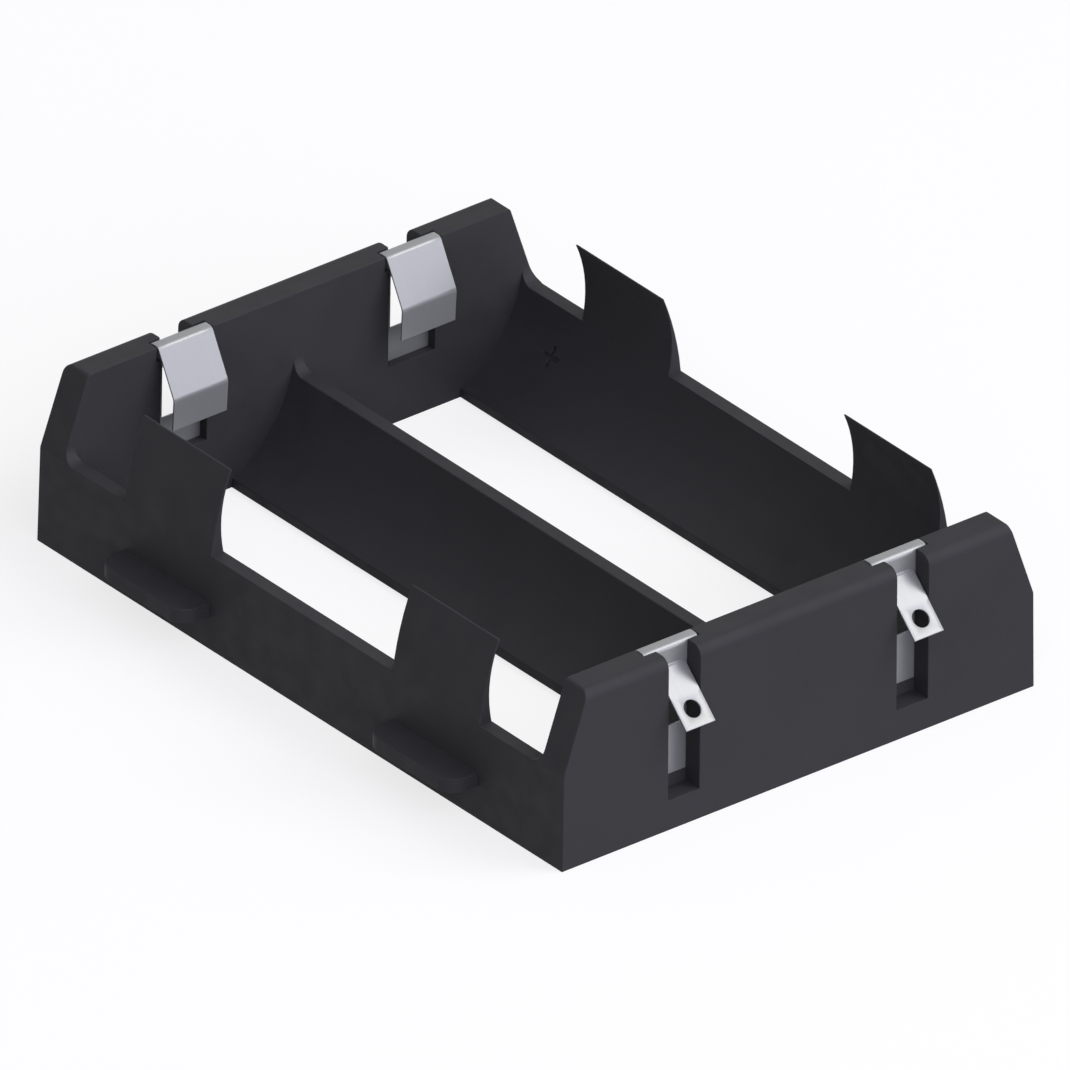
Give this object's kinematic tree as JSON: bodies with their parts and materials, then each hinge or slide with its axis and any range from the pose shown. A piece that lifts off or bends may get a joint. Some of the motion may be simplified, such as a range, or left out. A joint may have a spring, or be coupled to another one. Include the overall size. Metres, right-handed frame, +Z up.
{
  "type": "battery holder",
  "caption": "Open moulded tray that holds cylindrical cells side by side between sprung end contacts with solder lugs.",
  "frame": {"origin": "middle of the flat underside, under the divider between the cells", "axes": "+X along the cells, +Y across them, +Z up, away from the underside"},
  "size_m": [0.0834, 0.0636, 0.0186],
  "materials": {
    "moulded_plastic": "fine matt as moulded",
    "plated_spring_steel": "nickel plated, smooth"
  },
  "bodies": {
    "root": {"holder_body": "moulded_plastic", "contact_cell_1_front": "plated_spring_steel", "contact_cell_1_rear": "plated_spring_steel", "contact_cell_2_front": "plated_spring_steel", "contact_cell_2_rear": "plated_spring_steel"}
  },
  "joints": []
}
